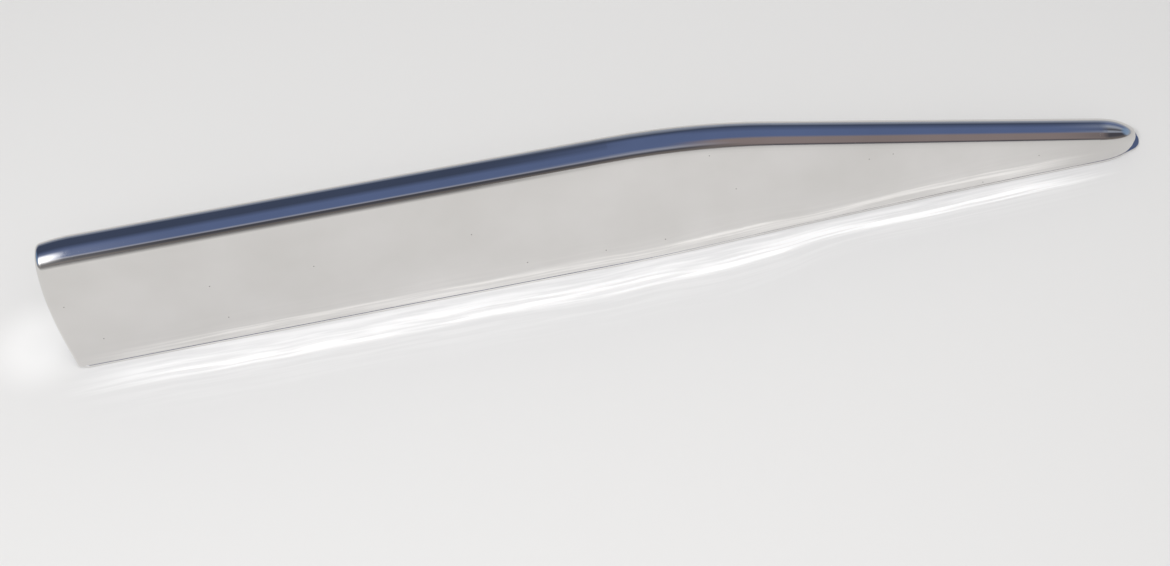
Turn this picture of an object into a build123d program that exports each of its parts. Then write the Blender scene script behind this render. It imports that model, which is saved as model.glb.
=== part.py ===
from build123d import *
from math import asin, atan, cos, degrees, radians, sin, tan
import os

# Canoe splash rail: a tall hollow-faced sheet with a wired top edge, closed at both
# ends, standing on a screw-down base flange. Millimetres. X runs from the square aft
# end to the nose, Y from the polished face to the open back, Z up off the deck.

# Overall sizes
rail_length = 914.0
rail_height = 121.0
flange_depth = 70.0

# Face sheet and its wired top edge
sheet_thickness = 1.5
core_diameter = 24.0
core_wall = 1.5
core_clearance = 0.1
roll_wrap = 268.0
face_top_lean = 5.0
face_hollow_radius = 450.0
trim_allowance = 3.0

# Run of the top edge: level, then falling and toeing in to the nose
fall_run = 396.0
nose_bead_height = 13.1
bend_radius = 554.0
toe_angle = 1.5

# Base flange and its countersunk holes
flange_thickness = 3.0
flange_lip = 0.4
flange_edge_round = 0.4
flange_corner_radius = 10.0
toe_front_radius = 12.0
toe_rear_radius = 10.0
toe_sweep = 8.5
toe_follow_shares = (0.35, 0.7)
toe_width = 21.0
foot_curve_spans = 7
taper_run = 165.0
screw_hole_diameter = 5.5
screw_head_diameter = 9.5
screw_edge_distance = 11.0
screw_count = 5
aft_screw_setback = 37.0
last_screw_setback = 217.0
nose_screw_setback = 112.0

# Aft end cap
aft_cap_depth = 40.0
aft_end_radius = 310.0
aft_belly_height = 31.0
aft_corner_radius = 5.0
aft_bead_narrowing = 0.22
aft_section_shares = (0, 0.25, 0.5, 0.75, 1)
aft_pocket_shares = (0, 0.5, 1)
cap_wall = 2.5
plug_length = 14.0
plug_clearance = 0.1

# Nose cap
nose_length = 39.0
nose_toe_margin = 10.5
nose_narrowing = 0.5
nose_narrowing_power = 3.0
nose_droop = 2.0
nose_edge_radius = 2.2
nose_plug_root = 7.0
nose_section_shares = (-0.2, -0.1, 0, 0.35, 0.6, 0.8, 1)

# Gussets
gusset_count = 5
gusset_thickness = 2.5
gusset_heel = 2.0
gusset_contact_angle = 35.0
gusset_waist_radius = 120.0
top_cope_radius = 7.0
top_cope_angle = 40.0
foot_cope_radius = 5.0

# Values worked out from the sizes above
bead_radius = core_diameter / 2 + core_clearance + sheet_thickness
bead_z = rail_height - bead_radius
aft_x = -rail_length / 2
nose_x = rail_length / 2
cap_x = aft_x
cap_foot_recess = (aft_belly_height - flange_thickness) ** 2 / (2 * aft_end_radius)
flange_aft_x = cap_x + cap_foot_recess - flange_lip
aft_joint_x = cap_x + aft_cap_depth
nose_tip_x = nose_x - nose_toe_margin
nose_joint_x = nose_tip_x - nose_length
flange_front_y = -flange_depth / 2
flange_rear_y = flange_depth / 2
foot_y = flange_front_y + flange_lip
lean = radians(face_top_lean)


def hollow_angle(drop):
    """Slope angle of the hollow face at a drop below the bead's centre."""
    arc_centre_height = (bead_radius + face_hollow_radius) * sin(lean)
    return asin((arc_centre_height + drop) / face_hollow_radius)


def face_setback(drop):
    """Distance from the bead's centre forward to the face at that drop."""
    reach = (bead_radius + face_hollow_radius) * cos(lean)
    return reach - face_hollow_radius * cos(hollow_angle(drop))


fall_angle = degrees(atan((bead_z - nose_bead_height) / fall_run))
bead_y = foot_y + face_setback(bead_z - flange_thickness)
bend_point = Vector(nose_tip_x - fall_run, bead_y, bead_z)
forward_run = Vector(1, -tan(radians(toe_angle)), -tan(radians(fall_angle)))
forward_direction = forward_run.normalized()


def bead_centre(x):
    """Centre of the bead on the straight forward run."""
    return bend_point + forward_run * (x - bend_point.X)


def face_foot(centre, along):
    """Point where the face meets the flange, in the section through the bead's centre."""
    across = Vector(-along.Y, along.X, 0).normalized()
    up = along.cross(across)
    drop = (centre.Z - flange_thickness) / up.Z
    return centre - across * face_setback(drop) - up * drop


# Line of the bead's centre, and the plane that its section is drawn in
with BuildLine() as bead_line:
    FilletPolyline(
        (aft_joint_x, bead_y, bead_z),
        bend_point,
        bead_centre(nose_tip_x),
        radius=bend_radius,
    )
bead_path = bead_line.wire()
section_plane = Plane(origin=(aft_joint_x, bead_y, bead_z), x_dir=(0, 1, 0), z_dir=(1, 0, 0))
flange_top = Plane.XY.offset(flange_thickness)
nose_joint = Plane(origin=(nose_joint_x, 0, 0), z_dir=(1, 0, 0))

# Section of the hollow face, drawn past the flange top and trimmed after the sweep
hollow_centre_y = -(bead_radius + face_hollow_radius) * cos(lean)
hollow_centre_z = (bead_radius + face_hollow_radius) * sin(lean)
hollow_end = degrees(hollow_angle(bead_z - flange_thickness + trim_allowance))
hollow_sweep = hollow_end - face_top_lean


def hollow_arc(radius):
    """Upward arc of the face's section, concentric with the hollow."""
    return CenterArc((hollow_centre_y, hollow_centre_z), radius, -hollow_end, hollow_sweep)


# Face sheet: hollow face rolled over into the bead
with BuildPart() as face_sheet:
    with BuildSketch(section_plane):
        with BuildLine():
            outside = hollow_arc(face_hollow_radius)
            inside = hollow_arc(face_hollow_radius + sheet_thickness)
            roll_start = 180 - face_top_lean
            roll_outside = CenterArc((0, 0), bead_radius, roll_start, -roll_wrap)
            roll_inside = CenterArc(
                (0, 0), bead_radius - sheet_thickness, roll_start, -roll_wrap
            )
            Line(outside @ 0, inside @ 0)
            Line(roll_outside @ 1, roll_inside @ 1)
        make_face()
    sweep(path=bead_path)
    split(bisect_by=flange_top, keep=Keep.TOP)
    split(bisect_by=nose_joint, keep=Keep.BOTTOM)
face_sheet.part.label = "face_sheet"

# Core tube inside the rolled edge
core_radius = core_diameter / 2
core_bore = core_radius - core_wall
with BuildPart() as core_tube:
    with BuildSketch(section_plane):
        Circle(core_radius)
        Circle(core_bore, mode=Mode.SUBTRACT)
    sweep(path=bead_path)
    split(bisect_by=nose_joint, keep=Keep.BOTTOM)
core_tube.part.label = "core_tube"
plug_radius = core_bore - plug_clearance


def arch(centre_y, centre_z, half_width, half_height):
    """Closed section of an end cap: hollow front, rounded top, plumb back."""
    tangent_y = centre_y - half_width * cos(lean)
    tangent_z = centre_z + half_height * sin(lean)
    front_centre_y = tangent_y - face_hollow_radius * cos(lean)
    front_centre_z = tangent_z + face_hollow_radius * sin(lean)
    front_end = degrees(asin((front_centre_z - flange_thickness) / face_hollow_radius))
    with BuildSketch() as section:
        with BuildLine():
            front = CenterArc(
                (front_centre_y, front_centre_z),
                face_hollow_radius,
                -front_end,
                front_end - face_top_lean,
            )
            top = EllipticalCenterArc(
                (centre_y, centre_z),
                half_width,
                half_height,
                start_angle=180 - face_top_lean,
                arc_size=face_top_lean - 180,
            )
            back = Line(top @ 1, (centre_y + half_width, flange_thickness))
            Line(back @ 1, front @ 0)
        make_face()
    return section.sketch


def cap_plane(x):
    """Upright plane across the rail."""
    return Plane(origin=(x, 0, 0), x_dir=(0, 1, 0), z_dir=(1, 0, 0))


def aft_arch(distance, inset):
    """Aft cap's section at a distance from its end, set in by a wall thickness."""
    fullness = 1 - aft_bead_narrowing * (1 - distance / aft_cap_depth) ** 2
    radius = bead_radius * fullness
    tangent_y = bead_y - bead_radius * cos(lean)
    tangent_z = bead_z + bead_radius * sin(lean)
    centre_y = tangent_y + radius * cos(lean)
    centre_z = tangent_z - radius * sin(lean)
    return arch(centre_y, centre_z, radius - inset, radius - inset)


# Aft end cap: closed end with a softly rounded edge and a narrowing bead
end_recess = (bead_z - aft_belly_height) ** 2 / (2 * aft_end_radius)
pocket_start = end_recess + aft_corner_radius + cap_wall
with BuildPart() as aft_end_cap:
    for share in aft_section_shares:
        with BuildSketch(cap_plane(cap_x + share * aft_cap_depth)):
            add(aft_arch(share * aft_cap_depth, 0))
    loft()
    with BuildSketch(Plane.XZ):
        with Locations((cap_x + aft_end_radius, aft_belly_height)):
            Circle(aft_end_radius)
    extrude(amount=flange_depth, both=True, mode=Mode.INTERSECT)
    end_face = aft_end_cap.faces().sort_by(Axis.X)[0]
    end_edges = end_face.edges().filter_by(lambda edge: edge.center().Z > 2 * flange_thickness)
    fillet(end_edges, aft_corner_radius)
    for share in aft_pocket_shares:
        distance = pocket_start + share * (aft_cap_depth - pocket_start)
        with BuildSketch(cap_plane(cap_x + distance)):
            add(aft_arch(distance, cap_wall))
    loft(mode=Mode.SUBTRACT)
    with BuildSketch(cap_plane(cap_x + pocket_start)):
        with Locations((bead_y, bead_z)):
            Circle(plug_radius)
    extrude(amount=aft_cap_depth - pocket_start + plug_length)
aft_end_cap.part.label = "aft_end_cap"

def nose_station(share):
    """Position along the rail at a share of the nose cap's length."""
    return nose_joint_x + share * nose_length


def nose_arch(share):
    """Nose cap's section at a share of its length."""
    loss = nose_narrowing * max(0, share) ** nose_narrowing_power
    radius = bead_radius * (1 - loss)
    centre = bead_centre(nose_station(share))
    centre_z = centre.Z - nose_droop * loss
    return arch(centre.Y, centre_z, radius, radius / cos(radians(fall_angle)))


# Nose cap: narrowing to a blunt rounded end, with a plug for the core tube. Its sections
# start a little before the joint, so that it leaves the sheet without a crease.
with BuildPart() as nose_cap:
    for share in nose_section_shares:
        with BuildSketch(cap_plane(nose_station(share))):
            add(nose_arch(share))
    loft()
    split(bisect_by=nose_joint, keep=Keep.TOP)
    nose_edges = nose_cap.faces().sort_by(Axis.X)[-1].edges()
    fillet(nose_edges.filter_by(lambda edge: edge.center().Z > flange_thickness + 1), nose_edge_radius)
    nose_plug_plane = Plane(origin=bead_centre(nose_joint_x), z_dir=forward_direction)
    with BuildSketch(nose_plug_plane.offset(-plug_length)):
        Circle(plug_radius)
    extrude(amount=plug_length + nose_plug_root)
nose_cap.part.label = "nose_cap"

# Base flange: follows the foot of the face and ends in a rounded toe
bend_start = bend_point.X - bend_radius * tan(radians(fall_angle) / 2)
nose_foot = face_foot(bead_centre(nose_joint_x), forward_direction)
toe_front_y = nose_foot.Y + toe_sweep
toe_rear_y = toe_front_y + toe_width
taper_x = nose_x - taper_run
foot_points = []
for step in range(1, foot_curve_spans):
    before_joint = (1 - step / foot_curve_spans) * (nose_joint_x - bend_start)
    share = 1 - before_joint / bead_path.length
    foot = face_foot(bead_path @ share, bead_path % share)
    if bend_start < foot.X < nose_foot.X:
        foot_points.append((foot.X, foot.Y - flange_lip))
foot_points.append((nose_foot.X, nose_foot.Y - flange_lip))
for share in toe_follow_shares:
    cap_foot_y = nose_arch(share).vertices().sort_by(Axis.X)[0].X
    foot_points.append((nose_station(share), cap_foot_y - flange_lip))


def rear_edge_y(x):
    """Rear edge of the flange: straight, then tapering to the toe."""
    slope = (toe_rear_y - flange_rear_y) / (nose_x - taper_x)
    return flange_rear_y + slope * max(0, x - taper_x)


first_screw_x = aft_x + aft_screw_setback
screw_pitch = (nose_x - last_screw_setback - first_screw_x) / (screw_count - 1)
screw_xs = [first_screw_x + screw_pitch * step for step in range(screw_count)]
screw_xs.append(nose_x - nose_screw_setback)
screw_points = [(x, rear_edge_y(x) - screw_edge_distance) for x in screw_xs]
with BuildPart() as base_flange:
    with BuildSketch():
        with BuildLine():
            aft_edge = Line((flange_aft_x, flange_rear_y), (flange_aft_x, flange_front_y))
            straight = Line(aft_edge @ 1, (bend_start, flange_front_y))
            foot_curve = Spline(straight @ 1, *foot_points)
            toe_front = Line(foot_curve @ 1, (nose_x, toe_front_y))
            toe_tip = Line(toe_front @ 1, (nose_x, toe_rear_y))
            taper = Line(toe_tip @ 1, (taper_x, flange_rear_y))
            Line(taper @ 1, aft_edge @ 0)
        make_face()
        fillet(vertices().group_by(Axis.X)[-1].sort_by(Axis.Y)[0], toe_front_radius)
        fillet(vertices().group_by(Axis.X)[-1].sort_by(Axis.Y)[-1], toe_rear_radius)
        fillet(vertices().group_by(Axis.X)[0], flange_corner_radius)
    extrude(amount=flange_thickness)
    top_edges = base_flange.faces().sort_by(Axis.Z)[-1].edges()
    fillet(top_edges, flange_edge_round)
    with Locations(*[(x, y, flange_thickness) for x, y in screw_points]):
        CounterSinkHole(screw_hole_diameter / 2, screw_head_diameter / 2)
base_flange.part.label = "base_flange"

# Shape that the gussets are cut back to: the bead and everything before the sheet's back
with BuildPart() as rail_form:
    with BuildSketch(section_plane):
        Circle(bead_radius)
        with BuildLine():
            back_of_sheet = hollow_arc(face_hollow_radius + sheet_thickness)
            front_low = Line(back_of_sheet @ 0, (-flange_depth, (back_of_sheet @ 0).Y))
            front_high = Line(front_low @ 1, (-flange_depth, (back_of_sheet @ 1).Y))
            Line(front_high @ 1, back_of_sheet @ 1)
        make_face()
    sweep(path=bead_path)


# Gussets: upright webs between the screws, coped clear of the seams
gussets = []
for number in range(gusset_count):
    station = (screw_xs[number] + screw_xs[number + 1]) / 2
    centre = bead_path.intersect(cap_plane(station))[0].center()
    heel_y = centre.Y + bead_radius + gusset_heel
    toe_y = centre.Y - face_setback(centre.Z - flange_thickness)
    contact_y = centre.Y + bead_radius * cos(radians(gusset_contact_angle))
    contact_z = centre.Z - bead_radius * sin(radians(gusset_contact_angle))
    cope_y = centre.Y - bead_radius * cos(radians(top_cope_angle))
    cope_z = centre.Z - bead_radius * sin(radians(top_cope_angle))
    with BuildPart() as gusset:
        with BuildSketch(cap_plane(station)):
            with BuildLine():
                waist = RadiusArc(
                    (heel_y, flange_thickness), (contact_y, contact_z), gusset_waist_radius
                )
                Polyline(
                    waist @ 1,
                    (centre.Y, centre.Z),
                    (centre.Y - bead_radius - sheet_thickness, centre.Z),
                    (toe_y - sheet_thickness, flange_thickness),
                    waist @ 0,
                )
            make_face()
            with Locations((cope_y, cope_z)):
                Circle(top_cope_radius, mode=Mode.SUBTRACT)
            with Locations((toe_y + sheet_thickness, flange_thickness)):
                Circle(foot_cope_radius, mode=Mode.SUBTRACT)
        extrude(amount=gusset_thickness / 2, both=True)
        add(rail_form.part, mode=Mode.SUBTRACT)
    gusset.part.label = "gusset_" + str(number + 1)
    gussets.append(gusset)

os.makedirs("parts", exist_ok=True)
for piece in (face_sheet, core_tube, aft_end_cap, nose_cap, base_flange, *gussets):
    print(piece.part.label, piece.part.is_valid, len(piece.part.solids()), round(piece.part.volume))
    export_step(piece.part, "parts/" + piece.part.label + ".step")
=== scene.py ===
import bmesh, bpy, math
from mathutils import Matrix, Vector
from mathutils.bvhtree import BVHTree


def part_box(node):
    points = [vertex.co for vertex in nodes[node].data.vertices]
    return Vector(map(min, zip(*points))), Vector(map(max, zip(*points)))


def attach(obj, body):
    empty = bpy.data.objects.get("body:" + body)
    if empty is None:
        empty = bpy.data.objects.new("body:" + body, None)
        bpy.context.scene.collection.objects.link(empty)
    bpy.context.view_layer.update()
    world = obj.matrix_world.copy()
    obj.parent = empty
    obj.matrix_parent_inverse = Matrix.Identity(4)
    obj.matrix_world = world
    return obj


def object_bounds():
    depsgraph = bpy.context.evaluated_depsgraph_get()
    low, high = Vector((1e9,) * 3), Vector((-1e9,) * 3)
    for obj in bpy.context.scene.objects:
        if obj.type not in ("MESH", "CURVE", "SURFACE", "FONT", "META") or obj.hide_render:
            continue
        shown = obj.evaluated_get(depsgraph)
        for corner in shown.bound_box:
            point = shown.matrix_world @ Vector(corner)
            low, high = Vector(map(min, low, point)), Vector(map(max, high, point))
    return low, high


# Canoe splash rail in mirror-polished stainless steel, standing on a pale studio floor.
# Metres. +X runs from the aft end to the nose, +Y from the polished face to the open back.
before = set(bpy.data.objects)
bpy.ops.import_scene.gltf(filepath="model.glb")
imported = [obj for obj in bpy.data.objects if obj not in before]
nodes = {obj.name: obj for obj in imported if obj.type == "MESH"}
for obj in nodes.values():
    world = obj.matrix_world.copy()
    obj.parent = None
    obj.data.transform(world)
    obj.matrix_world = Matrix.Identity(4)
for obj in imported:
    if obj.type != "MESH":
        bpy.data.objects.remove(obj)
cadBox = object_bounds()
mmPerMetre = 1000
print("frame loaded:", ", ".join(sorted(nodes)))

bpy.context.scene.view_settings.view_transform = "Standard"


def linear(hexColor):  # sRGB hex to a linear colour
    channels = [int(hexColor[i:i + 2], 16) / 255 for i in (1, 3, 5)]
    return [c / 12.92 if c <= 0.04045 else ((c + 0.055) / 1.055) ** 2.4 for c in channels] + [1.0]


# Adds one node. Lower-case names are its settings, and stops are a ramp's places and colours.
# Values go to the inputs in use, in order or by name. Each is a constant, an output, or a node,
# which stands for its first output in use.
def addNode(tree, kind, *values, stops=(), **named):
    node = tree.nodes.new("ShaderNode" + kind)
    for name, value in named.items():
        if name[0].islower():
            setattr(node, name, value)
    for number, (place, hexColor) in enumerate(stops):
        elements = node.color_ramp.elements
        if number == 0:
            elements.remove(elements[1])
        element = elements.new(place) if number else elements[0]
        element.position = place
        element.color = linear(hexColor)
    given = list(zip([socket for socket in node.inputs if socket.enabled], values))
    given += [(node.inputs[name.replace("_", " ")], value) for name, value in named.items()
              if name[0].isupper()]
    for socket, value in given:
        if isinstance(value, bpy.types.Node):
            value = [output for output in value.outputs if output.enabled][0]
        if isinstance(value, bpy.types.NodeSocket):
            tree.links.new(value, socket)
        else:
            socket.default_value = value
    return node


softStep = {"interpolation_type": "SMOOTHSTEP"}  # a Map Range that eases in and out

# Camera, at the photograph's viewing angle
cameraView = {
    "place": (-0.13336, -0.5667, 0.88336),
    "right": (0.97826, -0.20612, -0.02278),
    "up": (0.18833, 0.83706, 0.51368),
    "focalPixels": 1250,
    "imageWidth": 1170,
    "sensorWidth": 36,
    "nearest": 0.05,
}
cameraData = bpy.data.cameras.new("camera")
cameraData.sensor_width = cameraView["sensorWidth"]
cameraData.lens = cameraView["sensorWidth"] * cameraView["focalPixels"] / cameraView["imageWidth"]
cameraData.clip_start = cameraView["nearest"]
camera = bpy.data.objects.new("camera", cameraData)
bpy.context.scene.collection.objects.link(camera)
right = Vector(cameraView["right"]).normalized()
up = Vector(cameraView["up"]).normalized()
turn = Matrix((right, up, right.cross(up))).transposed().to_4x4()
camera.matrix_world = Matrix.Translation(cameraView["place"]) @ turn
bpy.context.scene.camera = camera
print("camera placed")

# Surround: the open sky and the ground beyond the board, as the mirror finish shows them. Over
# the rail the angle runs from the front horizon, at 0 degrees, to the back one, at 180: ground, a
# dark line of far things, haze, blue sky, then deeper sky and a pale horizon behind. The bands
# change from the aft end to the drooping tip, and past both ends there is plain sky.
surround = {
    "daylight": "#b9b9b9",  # neutral, and all that matt surfaces take from it
    "angles": (-10, 180),  # reach of the bands
    "ground": "#807a76",
    "dark": "#4e4e56",
    "haze": "#a0a4b4",
    "warmHaze": "#908484",
    "sky": "#607098",
    "highSky": "#444e66",
    "pale": "#a8b0c0",
    "aft": [(0, "ground"), (15, "dark"), (25, "dark"), (31, "haze"), (40, "sky"), (76, "sky"),
            (106, "highSky"), (155, "highSky"), (178, "pale")],
    "middle": [(2, "ground"), (20, "dark"), (32, "haze"), (50, "sky"), (118, "sky"),
               (142, "highSky"), (178, "pale")],
    "nose": [(2, "dark"), (13, "warmHaze"), (50, "warmHaze"), (66, "sky"), (105, "sky"),
             (150, "highSky"), (178, "pale")],
    "tip": [(2, "ground"), (24, "dark"), (48, "dark"), (62, "pale"), (84, "dark"), (114, "pale"),
            (148, "sky"), (178, "pale")],
    "middleStart": (0.0, 0.22),  # share of the direction that lies along the rail
    "noseStart": (0.26, 0.45),
    "tipStart": (0.585, 0.67),  # share along the falling run
    "fallingRun": (0.9717, -0.0254, -0.2314),
    "ends": [(0.0, "#a8b0bc"), (0.12, "#8ea6c4"), (0.6, "#6088b4")],  # by height
    "aftEndStart": (-0.76, -0.92),
    "noseEndStart": (0.92, 0.98),
}
aftWindow = {  # tall window past the aft end, seen only in the rounded end of the bead
    "edge": (-0.295, -0.365),  # shares along the rail
    "farEdge": (-0.85, -0.65),
    "low": (8, 42),  # degrees over the rail
    "high": (80, 48),
    "strength": 2.4,
    "spill": 0.20,  # weaker light round it
    "spillEdge": (-0.18, -0.45),
    "spillLow": (-30, 0),
    "spillHigh": (100, 55),
}
world = bpy.data.worlds.new("studio surround")
bpy.context.scene.world = world
world.use_nodes = True
tree = world.node_tree
tree.nodes.clear()
direction = addNode(tree, "TexCoord").outputs["Generated"]
parts = addNode(tree, "SeparateXYZ", direction).outputs
towardsFront = addNode(tree, "Math", parts["Y"], -1.0, operation="MULTIPLY")
angle = addNode(tree, "Math", parts["Z"], towardsFront, operation="ARCTAN2")
firstAngle, lastAngle = surround["angles"]
angleShare = addNode(tree, "MapRange", angle, math.radians(firstAngle), math.radians(lastAngle))
ramps = {}
for name in ("aft", "middle", "nose", "tip"):
    stops = [((degrees - firstAngle) / (lastAngle - firstAngle), surround[band])
             for degrees, band in surround[name]]
    ramps[name] = addNode(tree, "ValToRGB", angleShare, stops=stops)
alongFall = addNode(tree, "VectorMath", direction, surround["fallingRun"], operation="DOT_PRODUCT")
sky = ramps["aft"]
for name, reach in (("middle", parts["X"]), ("nose", parts["X"]), ("tip", alongFall)):
    start = addNode(tree, "MapRange", reach, *surround[name + "Start"], **softStep)
    sky = addNode(tree, "Mix", start, sky, ramps[name], data_type="RGBA")


def litPatch(edge, low, high):  # soft patch past the aft end, between two angles over the rail
    starts = addNode(tree, "MapRange", parts["X"], *edge, **softStep)
    rises = addNode(tree, "MapRange", angle, *map(math.radians, low), **softStep)
    falls = addNode(tree, "MapRange", angle, *map(math.radians, high), **softStep)
    band = addNode(tree, "Math", rises, falls, operation="MULTIPLY")
    return addNode(tree, "Math", starts, band, operation="MULTIPLY")


window = litPatch(aftWindow["edge"], aftWindow["low"], aftWindow["high"])
window = addNode(tree, "Math", window,
                 addNode(tree, "MapRange", parts["X"], *aftWindow["farEdge"], **softStep),
                 operation="MULTIPLY")
spill = litPatch(aftWindow["spillEdge"], aftWindow["spillLow"], aftWindow["spillHigh"])
for patch, strength in ((window, aftWindow["strength"]), (spill, aftWindow["spill"])):
    sky = addNode(tree, "Mix", patch, sky, [strength] * 3 + [1.0], data_type="RGBA",
                  blend_type="ADD")
endwise = addNode(tree, "Math",
                  addNode(tree, "MapRange", parts["X"], *surround["aftEndStart"], **softStep),
                  addNode(tree, "MapRange", parts["X"], *surround["noseEndStart"], **softStep),
                  operation="MAXIMUM")
sky = addNode(tree, "Mix", endwise, sky,
              addNode(tree, "ValToRGB", parts["Z"], stops=surround["ends"]), data_type="RGBA")


def seenDirectly(tree):  # 1 for the camera and for what mirrors and glass show
    path = addNode(tree, "LightPath").outputs
    seen = addNode(tree, "Math", path["Is Camera Ray"], path["Is Glossy Ray"], operation="ADD")
    seen = addNode(tree, "Math", seen, path["Is Transmission Ray"], operation="ADD")
    return addNode(tree, "Math", seen, 1.0, operation="MINIMUM")


background = addNode(tree, "MixShader", seenDirectly(tree),
                     addNode(tree, "Background", linear(surround["daylight"])),
                     addNode(tree, "Background", sky))
addNode(tree, "OutputWorld", background)
print("surround ready")

# Floor: matt pale board, with painted light: an emitted painted glow stands in for the light that
# the hollow face throws back on it, and painted shade darkens it far off in mirrors. Distances in
# front of the rail are in metres, or for the glow in widths of its band.
floor = {
    "color": "#e4e3e2",
    # painted shade: the colour that mirrors see the board darken to far off
    "dark": "#2a2523",
    "roughness": 0.8,
    "halfSide": 20.0,
    "drop": 0.0002,
    "frontEdge": -0.0350,  # the flange's front edge, then how it draws back past the bend
    "edgeBend": 0.05,
    "edgeSlope": 0.0297,
    # painted light: the strength of the board's emitted glow
    "paintedGlow": 0.30,
    "glowColor": "#ffffff",
    "glowWidth": (0.0215, 0.0130),  # on the level run and on the falling one
    "widthChange": (0.06, 0.20),  # along the rail, as the next two
    "glowStart": (-0.480, -0.36),
    "glowEnd": (0.44, 0.33),
    "glowRise": (0.2, 1.15, 0.22, 1.0),  # from, to, and the light at both
    "glowFall": (1.38, 1.15),
    "glowTail": (3.0, 1.1, 0.0, 0.22),
    "farGlow": (9.0, 1.0, 0.0, 0.26),  # broad faint part of the painted glow, which only mirrors pick up
    "farGlowStart": (-0.42, 0.02),
    "inFront": (-0.002, 0.001),  # no glow behind the front edge
    "endGlowPlace": (-0.487, -0.004, 0.0),  # painted light that the aft end throws beside it
    "endGlow": (0.052, 0.012, 0.0, 0.42),
    "waver": (9.0, 0.3),  # scale, and how far the band strays
    "streaks": (10.0, 0.5),  # scale, and how far they are drawn out across
    "streakLight": (0.36, 0.66, 0.25, 1.05),
    "fullLight": 0.17,  # painted shade: mirrors see the board fade to dark past this far away
    "falloff": 0.8,
    "faintest": 0.28,
    "clearer": (-0.15, 0.06, 1.0, 0.25),  # along the rail, and the strength of that fade
}
floorShape = bmesh.new()
bmesh.ops.create_grid(floorShape, x_segments=1, y_segments=1, size=floor["halfSide"])
bmesh.ops.translate(floorShape, verts=floorShape.verts, vec=(0, 0, -floor["drop"]))
floorMesh = bpy.data.meshes.new("floor")
floorShape.to_mesh(floorMesh)
floorShape.free()
floorObject = bpy.data.objects.new("floor", floorMesh)
bpy.context.scene.collection.objects.link(floorObject)
floorMaterial = bpy.data.materials.new("matt studio board")
floorMaterial.use_nodes = True
tree = floorMaterial.node_tree
tree.nodes.clear()
place = addNode(tree, "TexCoord").outputs["Object"]
parts = addNode(tree, "SeparateXYZ", place).outputs
pastBend = addNode(tree, "Math", parts["X"], floor["edgeBend"], operation="SUBTRACT")
pastBend = addNode(tree, "Math", pastBend, 0.0, operation="MAXIMUM")
edge = addNode(tree, "Math", pastBend, floor["edgeSlope"], floor["frontEdge"],
               operation="MULTIPLY_ADD")
inFront = addNode(tree, "Math", edge, parts["Y"], operation="SUBTRACT")
width = addNode(tree, "MapRange", parts["X"], *floor["widthChange"], *floor["glowWidth"],
                **softStep)
waver = addNode(tree, "TexNoise", W=parts["X"], Scale=floor["waver"][0], Detail=1.0,
                noise_dimensions="1D")
across = addNode(tree, "Math", inFront, width, operation="DIVIDE")
across = addNode(tree, "Math", waver, floor["waver"][1], across, operation="MULTIPLY_ADD")
drawnOut = addNode(tree, "Math", across, floor["streaks"][1], operation="MULTIPLY")
streaks = addNode(tree, "TexNoise", Scale=floor["streaks"][0], Detail=3.0,
                  Vector=addNode(tree, "CombineXYZ", parts["X"], drawnOut))
# Painted light: the board glows in a streaked band in front of the face, where the face would
# throw light on it
paintedGlow = addNode(tree, "Math", addNode(tree, "MapRange", across, *floor["glowRise"], **softStep),
               addNode(tree, "MapRange", across, *floor["glowFall"], **softStep),
               operation="MULTIPLY")
paintedGlow = addNode(tree, "Math", paintedGlow,
               addNode(tree, "MapRange", across, *floor["glowTail"], **softStep), operation="ADD")
paintedGlow = addNode(tree, "Math", paintedGlow,
               addNode(tree, "MapRange", streaks, *floor["streakLight"], **softStep),
               operation="MULTIPLY")
glossy = addNode(tree, "LightPath").outputs["Is Glossy Ray"]
farGlow = addNode(tree, "Math", glossy,
                  addNode(tree, "MapRange", across, *floor["farGlow"], **softStep),
                  operation="MULTIPLY")
farGlow = addNode(tree, "Math", farGlow,
                  addNode(tree, "MapRange", parts["X"], *floor["farGlowStart"], **softStep),
                  operation="MULTIPLY")
paintedGlow = addNode(tree, "Math", paintedGlow, farGlow, operation="ADD")
for reach, limits in ((inFront, floor["inFront"]), (parts["X"], floor["glowStart"]),
                      (parts["X"], floor["glowEnd"])):
    paintedGlow = addNode(tree, "Math", paintedGlow, addNode(tree, "MapRange", reach, *limits, **softStep),
                   operation="MULTIPLY")
# Painted light: a glowing patch on the board beside the aft end
fromEnd = addNode(tree, "VectorMath", place, floor["endGlowPlace"], operation="DISTANCE")
paintedGlow = addNode(tree, "Math", paintedGlow,
               addNode(tree, "MapRange", fromEnd, *floor["endGlow"], **softStep), operation="ADD")
paintedGlow = addNode(tree, "Math", paintedGlow, floor["paintedGlow"], operation="MULTIPLY")
paintedGlow = addNode(tree, "Math", paintedGlow, seenDirectly(tree), operation="MULTIPLY")
# Painted shade, seen only in mirrors: the board's colour darkens with distance in front of the
# rail
distance = addNode(tree, "Math", inFront, floor["fullLight"], operation="MAXIMUM")
farLight = addNode(tree, "Math", floor["fullLight"], distance, operation="DIVIDE")
farLight = addNode(tree, "Math", farLight, floor["falloff"], operation="POWER")
farLight = addNode(tree, "Math", farLight, floor["faintest"], operation="MAXIMUM")
paintedDimming = addNode(tree, "Math", 1.0, farLight, operation="SUBTRACT")
paintedDimming = addNode(tree, "Math", paintedDimming, glossy, operation="MULTIPLY")
paintedDimming = addNode(tree, "Math", paintedDimming,
                 addNode(tree, "MapRange", parts["X"], *floor["clearer"], **softStep),
                 operation="MULTIPLY")
board = addNode(tree, "Mix", paintedDimming, linear(floor["color"]), linear(floor["dark"]),
                data_type="RGBA")
paint = addNode(tree, "BsdfPrincipled", Base_Color=board, Roughness=floor["roughness"],
                Emission_Color=linear(floor["glowColor"]), Emission_Strength=paintedGlow)
addNode(tree, "OutputMaterial", paint)
floorMesh.materials.append(floorMaterial)

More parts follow.
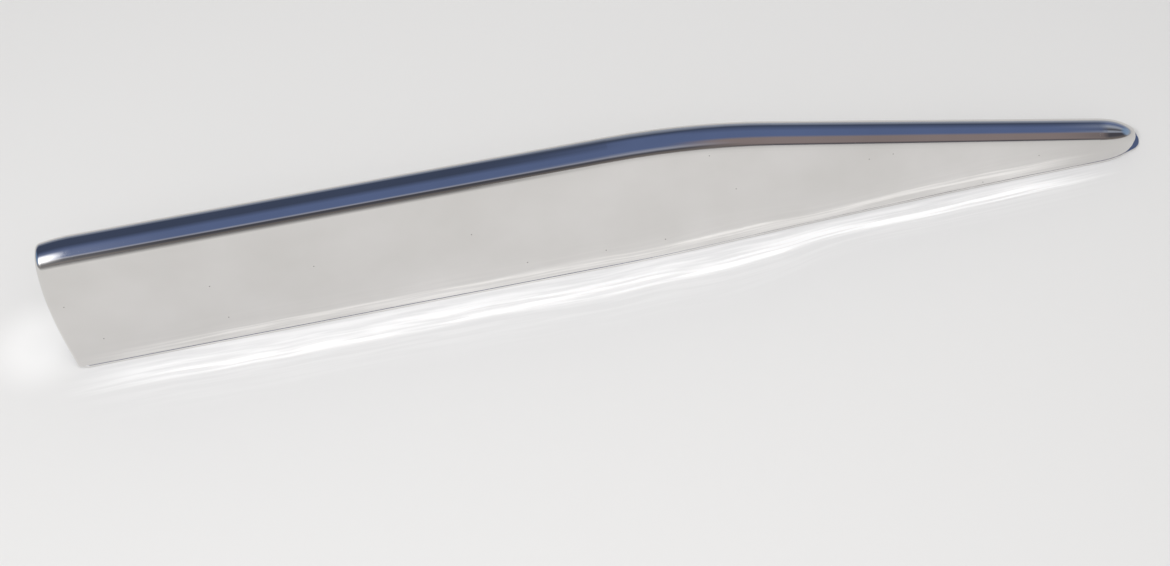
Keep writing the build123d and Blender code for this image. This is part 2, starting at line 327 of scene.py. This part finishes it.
lamps = {
    "key": {"place": (-1.45, -1.2, 2.4), "size": 0.5, "power": 30},
    "fill": {"place": (0.02, -0.5, 1.7), "size": 1.8, "power": 12.5},
}
for name, lamp in lamps.items():
    lampData = bpy.data.lights.new(name, "AREA")
    lampData.shape = "DISK"
    lampData.size = lamp["size"]
    lampData.energy = lamp["power"]
    lampObject = bpy.data.objects.new(name, lampData)
    bpy.context.scene.collection.objects.link(lampObject)
    lampObject.location = lamp["place"]
    lampObject.rotation_euler = (-Vector(lamp["place"])).to_track_quat("-Z", "Y").to_euler()
    lampObject.visible_glossy = False
print("floor and lamps ready")

# Line of the bead's centre and section of the sheet, from the CAD, in metres
railLine = {
    "y": 0.00117,  # on the level run
    "z": 0.1074,
    "bendX": 0.0505,
    "slopeY": 0.02619,  # past the bend
    "slopeZ": 0.23813,
    "bendSoftness": 0.096,
    "hollowY": -0.46184,  # centre of the face's hollow, from the bead's
    "hollowZ": 0.04041,
    "hollowRadius": 0.450,
    "sheet": 0.0015,
    "beadRadius": 0.0136,
    "flangeTop": 0.003,
}


# Object place measured from the bead's centre line, so that a pattern follows the bend, with
# the distances from the bead's centre and from the sheet's polished face
def alongRail(tree):
    parts = addNode(tree, "SeparateXYZ", addNode(tree, "TexCoord").outputs["Object"]).outputs
    pastBend = addNode(tree, "Math", parts["X"], railLine["bendX"], operation="SUBTRACT")
    pastBend = addNode(tree, "Math", pastBend, 0.0, railLine["bendSoftness"],
                       operation="SMOOTH_MAX")
    y = addNode(tree, "Math", pastBend, railLine["slopeY"], parts["Y"], operation="MULTIPLY_ADD")
    y = addNode(tree, "Math", y, railLine["y"], operation="SUBTRACT")
    z = addNode(tree, "Math", pastBend, railLine["slopeZ"], parts["Z"], operation="MULTIPLY_ADD")
    z = addNode(tree, "Math", z, railLine["z"], operation="SUBTRACT")
    hollowY = addNode(tree, "Math", y, railLine["hollowY"], operation="SUBTRACT")
    hollowZ = addNode(tree, "Math", z, railLine["hollowZ"], operation="SUBTRACT")
    reaches = []
    for across, upwards in ((y, z), (hollowY, hollowZ)):
        squares = addNode(tree, "Math",
                          addNode(tree, "Math", across, across, operation="MULTIPLY"),
                          addNode(tree, "Math", upwards, upwards, operation="MULTIPLY"),
                          operation="ADD")
        reaches.append(addNode(tree, "Math", squares, operation="SQRT"))
    return {
        "x": parts["X"],
        "z": z,
        "place": addNode(tree, "CombineXYZ", parts["X"], y, z),
        "depth": parts["Y"],  # these two as the object has them, not measured from the bead
        "height": parts["Z"],
        "fromBead": reaches[0],
        "fromFace": addNode(tree, "Math", reaches[1], railLine["hollowRadius"],
                            operation="SUBTRACT"),
    }


# Noise drawn out along the rail: lengths in millimetres along and across
def lengthwiseNoise(tree, rail, along, across, detail=2.0):
    stretch = (mmPerMetre / along, mmPerMetre / across, mmPerMetre / across)
    drawn = addNode(tree, "Mapping", Vector=rail["place"], Scale=stretch)
    return addNode(tree, "TexNoise", Vector=drawn, Scale=1.0, Detail=detail)


heatTint = {  # colours that a weld leaves beside it, from the bead outwards
    "width": 0.007,  # metres
    "fullWidth": 0.004,
    "colors": [(0.0, "#a09e9c"), (0.2, "#8b94a6"), (0.38, "#9b8893"), (0.56, "#b79c72"),
               (0.78, "#c6b998"), (1.0, "#b7b6b3")],
}


def heatTinted(tree, fromWeld, plain, strength):  # lays the tint over a plain colour
    tint = addNode(tree, "ValToRGB", stops=heatTint["colors"],
                   Fac=addNode(tree, "Math", fromWeld, heatTint["width"], operation="DIVIDE"))
    share = addNode(tree, "MapRange", fromWeld, heatTint["width"], heatTint["fullWidth"], 0.0,
                    strength, **softStep)
    return addNode(tree, "Mix", share, plain, tint, data_type="RGBA")


def newMaterial(name):
    material = bpy.data.materials.new(name)
    material.use_nodes = True
    material.node_tree.nodes.clear()
    return material, material.node_tree


def coatWithMetal(tree, color, metallic, roughness, height):  # last nodes of each metal
    bump = addNode(tree, "Bump", Height=height, Strength=1.0, Distance=1.0)
    metal = addNode(tree, "BsdfPrincipled", Base_Color=color, Metallic=metallic,
                    Roughness=roughness, Normal=bump)
    addNode(tree, "OutputMaterial", metal)


# Mirror-polished 18-8 stainless sheet, cut down with a mop along its length: slightly warm and
# nearly free of haze. The mop leaves long shallow waves that make the reflections wander, fine
# lengthwise lines, and here and there a pit. The sheet's back is left as rolled: grey and matt.
mirrorSteel = {
    "color": "#e2e0de",
    "hazeColor": "#d9d7d4",
    "roughness": (0.3, 0.75, 0.022, 0.055),  # noise from and to, and the roughness at both
    "waves": (260.0, 9.0, 0.030),  # along, across and height, mm
    "softWaves": (60.0, 0.012),  # length and height
    "beadLines": (40.0, 2.2, 0.010),  # deeper on the bead, where the mop rides on a narrow ridge
    "beadEdge": (0.001, 0.0003),
    "lines": (70.0, 1.6, 0.0045),  # real mop lines are 0.1 mm apart, drawn coarser to show
    "haze": 85.0,  # size of its patches
    "pitSpacing": 40.0,
    "pitRadius": 0.6,
    "pitFloor": 0.4,  # share of the radius
    "pitsLeftOut": 0.72,  # share of them
    "pitRoughness": 0.25,
    "pitColor": "#5f5b57",
}
asRolled = {
    "metallic": 0.62,  # the rest stands for what so fine a roughness scatters in all directions
    "color": "#b7b6b3",
    "darker": "#aeadaa",
    "roughness": (0.3, 0.7, 0.30, 0.40),
    "lines": (55.0, 0.9),  # rolling lines, also drawn coarser
    "mottle": 24.0,
    "behind": (0.6, 0.9),  # in sheet thicknesses from the polished face
    "belowBead": (0.0006, 0.0012),  # metres
    "tinted": 0.75,
}
noiseSpread = (0.3, 0.7)  # most of a noise texture's values lie between these
gussetBoxes = sorted([[list(corner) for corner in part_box(name)] for name in nodes
                      if name.startswith("gusset")])
gussetPlaces = [(low[0] + high[0]) / 2 for low, high in gussetBoxes]


def polishedSteel(name, backLeftRolled):
    material, tree = newMaterial(name)
    rail = alongRail(tree)
    lines = lengthwiseNoise(tree, rail, *mirrorSteel["lines"][:2])
    waves = lengthwiseNoise(tree, rail, *mirrorSteel["waves"][:2], 1.0)
    ridges = lengthwiseNoise(tree, rail, *mirrorSteel["beadLines"][:2])
    soft = addNode(tree, "TexNoise", Vector=rail["place"],
                   Scale=mmPerMetre / mirrorSteel["softWaves"][0], Detail=1.0)
    haze = addNode(tree, "TexNoise", Vector=rail["place"], Scale=mmPerMetre / mirrorSteel["haze"],
                   Detail=3.0)
    cells = addNode(tree, "TexVoronoi", Scale=mmPerMetre / mirrorSteel["pitSpacing"],
                    Vector=addNode(tree, "CombineXYZ", rail["x"], rail["z"]),
                    voronoi_dimensions="2D").outputs
    radius = mirrorSteel["pitRadius"] / mirrorSteel["pitSpacing"]
    pits = addNode(tree, "Math",
                   addNode(tree, "MapRange", cells["Distance"], radius,
                           radius * mirrorSteel["pitFloor"], **softStep),
                   addNode(tree, "Math", cells["Color"], mirrorSteel["pitsLeftOut"],
                           operation="GREATER_THAN"), operation="MULTIPLY")
    color = addNode(tree, "ValToRGB", haze,
                    stops=list(zip(noiseSpread, (mirrorSteel["hazeColor"], mirrorSteel["color"]))))
    color = addNode(tree, "Mix", pits, color, linear(mirrorSteel["pitColor"]), data_type="RGBA")
    roughness = addNode(tree, "MapRange", lines, *mirrorSteel["roughness"], **softStep)
    roughness = addNode(tree, "Math", pits, mirrorSteel["pitRoughness"], roughness,
                        operation="MULTIPLY_ADD")
    onBead = addNode(tree, "MapRange", rail["fromBead"],
                     *[railLine["beadRadius"] + gap for gap in mirrorSteel["beadEdge"]],
                     **softStep)
    ridges = addNode(tree, "Math", onBead, ridges, operation="MULTIPLY")
    height = addNode(tree, "Math", waves, mirrorSteel["waves"][-1] / mmPerMetre,
                     operation="MULTIPLY")
    for pattern, heights in ((soft, "softWaves"), (lines, "lines"), (ridges, "beadLines")):
        height = addNode(tree, "Math", pattern, mirrorSteel[heights][-1] / mmPerMetre, height,
                         operation="MULTIPLY_ADD")
    metallic = 1.0
    if backLeftRolled:
        behind = addNode(tree, "MapRange", rail["fromFace"],
                         *[railLine["sheet"] * part for part in asRolled["behind"]], **softStep)
        below = addNode(tree, "MapRange", rail["fromBead"],
                        *[railLine["beadRadius"] + gap for gap in asRolled["belowBead"]],
                        **softStep)
        rolled = addNode(tree, "Math", behind, below, operation="MULTIPLY")
        grain = lengthwiseNoise(tree, rail, *asRolled["lines"])
        mottle = addNode(tree, "TexNoise", Vector=rail["place"],
                         Scale=mmPerMetre / asRolled["mottle"], Detail=2.0)
        rolledColor = addNode(tree, "ValToRGB", mottle,
                              stops=list(zip(noiseSpread,
                                             (asRolled["darker"], asRolled["color"]))))
        nearest = 1.0  # farther than any weld
        for station in gussetPlaces:
            away = addNode(tree, "Math", rail["x"], station, operation="SUBTRACT")
            away = addNode(tree, "Math", away, operation="ABSOLUTE")
            nearest = addNode(tree, "Math", away, nearest, operation="MINIMUM")
        overFlange = addNode(tree, "Math", rail["height"], railLine["flangeTop"],
                             operation="SUBTRACT")
        nearest = addNode(tree, "Math", nearest, overFlange, operation="MINIMUM")
        rolledColor = heatTinted(tree, nearest, rolledColor, asRolled["tinted"])
        color = addNode(tree, "Mix", rolled, color, rolledColor, data_type="RGBA")
        metallic = addNode(tree, "MapRange", rolled, 0.0, 1.0, 1.0, asRolled["metallic"],
                           **softStep)
        rolledRoughness = addNode(tree, "MapRange", grain, *asRolled["roughness"], **softStep)
        roughness = addNode(tree, "Mix", rolled, roughness, rolledRoughness)
    coatWithMetal(tree, color, metallic, roughness, height)
    return material


# Flange: 3 mm plate, mirror-polished where the mop reaches, at the front edge and the toe, and
# satin from an abrasive belt behind the sheet
satinFlange = {
    "metallic": 0.66,
    "color": "#c9c7c4",
    "smudgeColor": "#c2c0bd",
    "smudges": 30.0,  # scale
    "roughness": (0.3, 0.7, 0.22, 0.34),
    "lines": (80.0, 0.8, 0.0025),  # a 180 grit belt, drawn coarser
    "behindFace": (0.0012, 0.0035),  # where the satin starts
    "toe": (0.425, 0.400),  # where it ends, along the rail
    "tinted": 0.7,
}


def flangeSteel(name):
    material, tree = newMaterial(name)
    rail = alongRail(tree)
    belt = lengthwiseNoise(tree, rail, *satinFlange["lines"][:2], 3.0)
    lines = lengthwiseNoise(tree, rail, *mirrorSteel["lines"][:2])
    satin = addNode(tree, "Math",
                    addNode(tree, "MapRange", rail["fromFace"], *satinFlange["behindFace"],
                            **softStep),
                    addNode(tree, "MapRange", rail["x"], *satinFlange["toe"], **softStep),
                    operation="MULTIPLY")
    smudges = addNode(tree, "TexNoise", Vector=rail["place"], Scale=satinFlange["smudges"],
                      Detail=3.0)
    satinColor = addNode(tree, "ValToRGB", smudges,
                         stops=list(zip(noiseSpread,
                                        (satinFlange["smudgeColor"], satinFlange["color"]))))
    fromWeld = addNode(tree, "Math", rail["fromFace"], railLine["sheet"], operation="SUBTRACT")
    for station, (low, high) in zip(gussetPlaces, gussetBoxes):
        away = addNode(tree, "Math", rail["x"], station, operation="SUBTRACT")
        away = addNode(tree, "Math", away, operation="ABSOLUTE")
        past = addNode(tree, "Math", rail["depth"], high[1], operation="SUBTRACT")
        away = addNode(tree, "Math", away, past, operation="MAXIMUM")
        fromWeld = addNode(tree, "Math", fromWeld, away, operation="MINIMUM")
    satinColor = heatTinted(tree, fromWeld, satinColor, satinFlange["tinted"])
    color = addNode(tree, "Mix", satin, linear(mirrorSteel["color"]), satinColor,
                    data_type="RGBA")
    roughness = addNode(tree, "Mix", satin,
                        addNode(tree, "MapRange", lines, *mirrorSteel["roughness"], **softStep),
                        addNode(tree, "MapRange", belt, *satinFlange["roughness"], **softStep))
    metallic = addNode(tree, "MapRange", satin, 0.0, 1.0, 1.0, satinFlange["metallic"], **softStep)
    height = addNode(tree, "Math", belt, satin, operation="MULTIPLY")
    height = addNode(tree, "Math", height, satinFlange["lines"][-1] / mmPerMetre,
                     operation="MULTIPLY")
    coatWithMetal(tree, color, metallic, roughness, height)
    return material


# Gussets: 2.5 mm sheet, belt-ground before welding: fine upright scratches, a soft grey sheen
# and straw to blue tint along the welded edges
groundGusset = {
    "metallic": 0.66,
    "color": "#c4c2bf",
    "darker": "#bbb9b6",
    "roughness": (0.3, 0.7, 0.26, 0.42),
    "scratches": (0.7, 40.0, 0.003),  # across, along and height; a 120 grit belt, drawn coarser
    "tinted": 0.8,
}


def gussetSteel(name):
    material, tree = newMaterial(name)
    rail = alongRail(tree)
    across, along, depth = groundGusset["scratches"]
    stretch = (mmPerMetre / across, mmPerMetre / across, mmPerMetre / along)
    drawn = addNode(tree, "Mapping", Vector=rail["place"], Scale=stretch)
    scratches = addNode(tree, "TexNoise", Vector=drawn, Scale=1.0, Detail=3.0)
    fromWeld = addNode(tree, "Math",
                       addNode(tree, "Math", rail["fromFace"], railLine["sheet"],
                               operation="SUBTRACT"),
                       addNode(tree, "Math", rail["height"], railLine["flangeTop"],
                               operation="SUBTRACT"), operation="MINIMUM")
    color = addNode(tree, "ValToRGB", scratches,
                    stops=list(zip(noiseSpread, (groundGusset["darker"], groundGusset["color"]))))
    color = heatTinted(tree, fromWeld, color, groundGusset["tinted"])
    roughness = addNode(tree, "MapRange", scratches, *groundGusset["roughness"], **softStep)
    height = addNode(tree, "Math", scratches, depth / mmPerMetre, operation="MULTIPLY")
    coatWithMetal(tree, color, groundGusset["metallic"], roughness, height)
    return material


# Core tube: drawn stainless tube as bought, dull grey with fine draw lines along it
drawnTube = {
    "metallic": 0.62,
    "color": "#aaa9a6",
    "darker": "#9c9b98",
    "roughness": (0.3, 0.7, 0.32, 0.45),
    "lines": (120.0, 0.8, 0.003),
}


def tubeSteel(name):
    material, tree = newMaterial(name)
    rail = alongRail(tree)
    lines = lengthwiseNoise(tree, rail, *drawnTube["lines"][:2])
    color = addNode(tree, "ValToRGB", lines,
                    stops=list(zip(noiseSpread, (drawnTube["darker"], drawnTube["color"]))))
    roughness = addNode(tree, "MapRange", lines, *drawnTube["roughness"], **softStep)
    height = addNode(tree, "Math", lines, drawnTube["lines"][-1] / mmPerMetre,
                     operation="MULTIPLY")
    coatWithMetal(tree, color, drawnTube["metallic"], roughness, height)
    return material


finishes = {
    "face_sheet": polishedSteel("mirror-polished stainless sheet", True),
    "aft_end_cap": polishedSteel("mirror-polished stainless cap", False),
    "base_flange": flangeSteel("polished and satin stainless plate"),
    "core_tube": tubeSteel("drawn stainless tube"),
}
finishes["nose_cap"] = finishes["aft_end_cap"]
groundSteel = gussetSteel("belt-ground stainless sheet")
for name, node in nodes.items():
    node.data.materials.clear()
    node.data.materials.append(finishes.get(name, groundSteel))
print("finishes set")

# Weld beads on the open back: short stitches with the ripples that a TIG torch leaves. Their
# sizes and places are in millimetres.
stitches = {
    "ripple": 1.3,  # from one ripple to the next
    "radius": 1.7,
    "sink": 0.5,
    "lean": 0.6,  # how far the bead's middle stands off, as a share of what it shows
    "valley": 0.86,  # size between ripples
    "taper": (0.45, 0.28),  # size at the very end, and what each half ripple adds
    "sides": 10,
    "footLength": 26.0,
    "footMost": 0.25,  # of a short bay between gussets
    "footShares": (0.28, 0.72),  # places in each bay
    "footFrom": 45.0,  # from the aft end
    "footTo": 400.0,
    "gussetLength": 14.0,
    "gussetShift": 4.0,  # towards the open back, on the flange
    "sheetHeights": (18.0, 52.0, 78.0),
    "roomAbove": 6.0,
    "behindAll": 60.0,
    "tints": [(0.3, "#8a8791"), (0.45, "#b3a68c"), (0.6, "#a7a5a2"), (0.75, "#7f8794")],
    "patchScale": 90.0,  # per metre
    "grainScale": 900.0,
    "grainHeight": 0.00004,  # metres
    "roughness": (0.3, 0.7, 0.22, 0.36),
    "metallic": 0.75,
}
inset = stitches["radius"] - stitches["sink"]
standOff = inset * stitches["lean"]
sheetMesh = nodes["face_sheet"].data
sheetTree = BVHTree.FromPolygons([v.co for v in sheetMesh.vertices],
                                 [p.vertices for p in sheetMesh.polygons])


def weldBead(shape, line):  # rippled bead through points
    heading = (line[-1] - line[0]).normalized()
    turned = heading.to_track_quat("Z", "Y").to_matrix().to_4x4()
    ring = bmesh.ops.create_circle(shape, cap_ends=False, segments=stitches["sides"], radius=1.0)
    verts = ring["verts"]
    edges = list(dict.fromkeys(edge for vert in verts for edge in vert.link_edges))
    bmesh.ops.transform(shape, matrix=turned, verts=verts)
    steps = len(line) - 1
    endSize, sizeStep = stitches["taper"]
    endLoops = [edges]
    for number, point in enumerate(line):
        if number:
            grown = bmesh.ops.extrude_edge_only(shape, edges=edges)["geom"]
            verts = [item for item in grown if isinstance(item, bmesh.types.BMVert)]
            edges = [item for item in grown if isinstance(item, bmesh.types.BMEdge)]
        fromEnd = min(number, steps - number)
        ripple = 1.0 if number % 2 else stitches["valley"]
        size = stitches["radius"] * ripple * min(1.0, endSize + sizeStep * fromEnd)
        middle = sum((v.co for v in verts), Vector()) / len(verts)
        for vert in verts:
            outwards = (vert.co - middle).normalized()
            vert.co = point / mmPerMetre + outwards * size / mmPerMetre
    endLoops.append(edges)
    for loop in endLoops:
        bmesh.ops.edgeloop_fill(shape, edges=loop)


def spaced(first, last):  # points half a ripple apart from first to last
    steps = round((last - first).length / (stitches["ripple"] / 2))
    return [first.lerp(last, number / steps) for number in range(steps + 1)]


# Stitch on the back of the sheet between two places given as x and z. It is left out where a
# ray from behind misses the sheet.
def sheetStitch(shape, *places):
    starts = [Vector((x, stitches["behindAll"], z)) / mmPerMetre for x, z in places]
    ends = [sheetTree.ray_cast(start, Vector((0, -1, 0)))[0] for start in starts]
    if None not in ends:
        weldBead(shape, spaced(*[end * mmPerMetre + Vector((0, standOff, 0)) for end in ends]))


weldShape = bmesh.new()
flangeTop = railLine["flangeTop"] * mmPerMetre
bays = [cadBox[0][0] * mmPerMetre + stitches["footFrom"]]
bays += [station * mmPerMetre for station in gussetPlaces] + [stitches["footTo"]]
for start, end in zip(bays, bays[1:]):
    for portion in stitches["footShares"]:
        middle = start + (end - start) * portion
        half = min(stitches["footLength"], (end - start) * stitches["footMost"]) / 2
        sheetStitch(weldShape, (middle - half, flangeTop + inset),
                    (middle + half, flangeTop + inset))
for box in gussetBoxes:
    low, high = [Vector(corner) * mmPerMetre for corner in box]
    for x in (low.x - standOff, high.x + standOff):
        middle = (low.y + high.y) / 2 + stitches["gussetShift"]
        half = stitches["gussetLength"] / 2
        weldBead(weldShape, spaced(Vector((x, middle - half, flangeTop + standOff)),
                                   Vector((x, middle + half, flangeTop + standOff))))
        for height in stitches["sheetHeights"]:
            top = height + stitches["gussetLength"]
            if top + stitches["roomAbove"] <= high.z:
                sheetStitch(weldShape, (x, height), (x, top))
bmesh.ops.recalc_face_normals(weldShape, faces=weldShape.faces)
for face in weldShape.faces:
    face.smooth = True
weldMesh = bpy.data.meshes.new("weld_stitches")
weldShape.to_mesh(weldMesh)
weldShape.free()
weldStitches = bpy.data.objects.new("weld_stitches", weldMesh)
bpy.context.scene.collection.objects.link(weldStitches)


# Weld metal as laid, wire-brushed but not dressed: dull silver with patches of straw and blue
def weldMetal(name):
    material, tree = newMaterial(name)
    place = addNode(tree, "TexCoord").outputs["Object"]
    patches = addNode(tree, "TexNoise", Vector=place, Scale=stitches["patchScale"], Detail=3.0)
    grain = addNode(tree, "TexNoise", Vector=place, Scale=stitches["grainScale"], Detail=2.0)
    color = addNode(tree, "ValToRGB", patches, stops=stitches["tints"])
    roughness = addNode(tree, "MapRange", grain, *stitches["roughness"], **softStep)
    height = addNode(tree, "Math", grain, stitches["grainHeight"], operation="MULTIPLY")
    coatWithMetal(tree, color, stitches["metallic"], roughness, height)
    return material


weldMesh.materials.append(weldMetal("TIG weld metal"))
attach(weldStitches, "root")
print("weld stitches:", len(weldMesh.polygons), "faces")
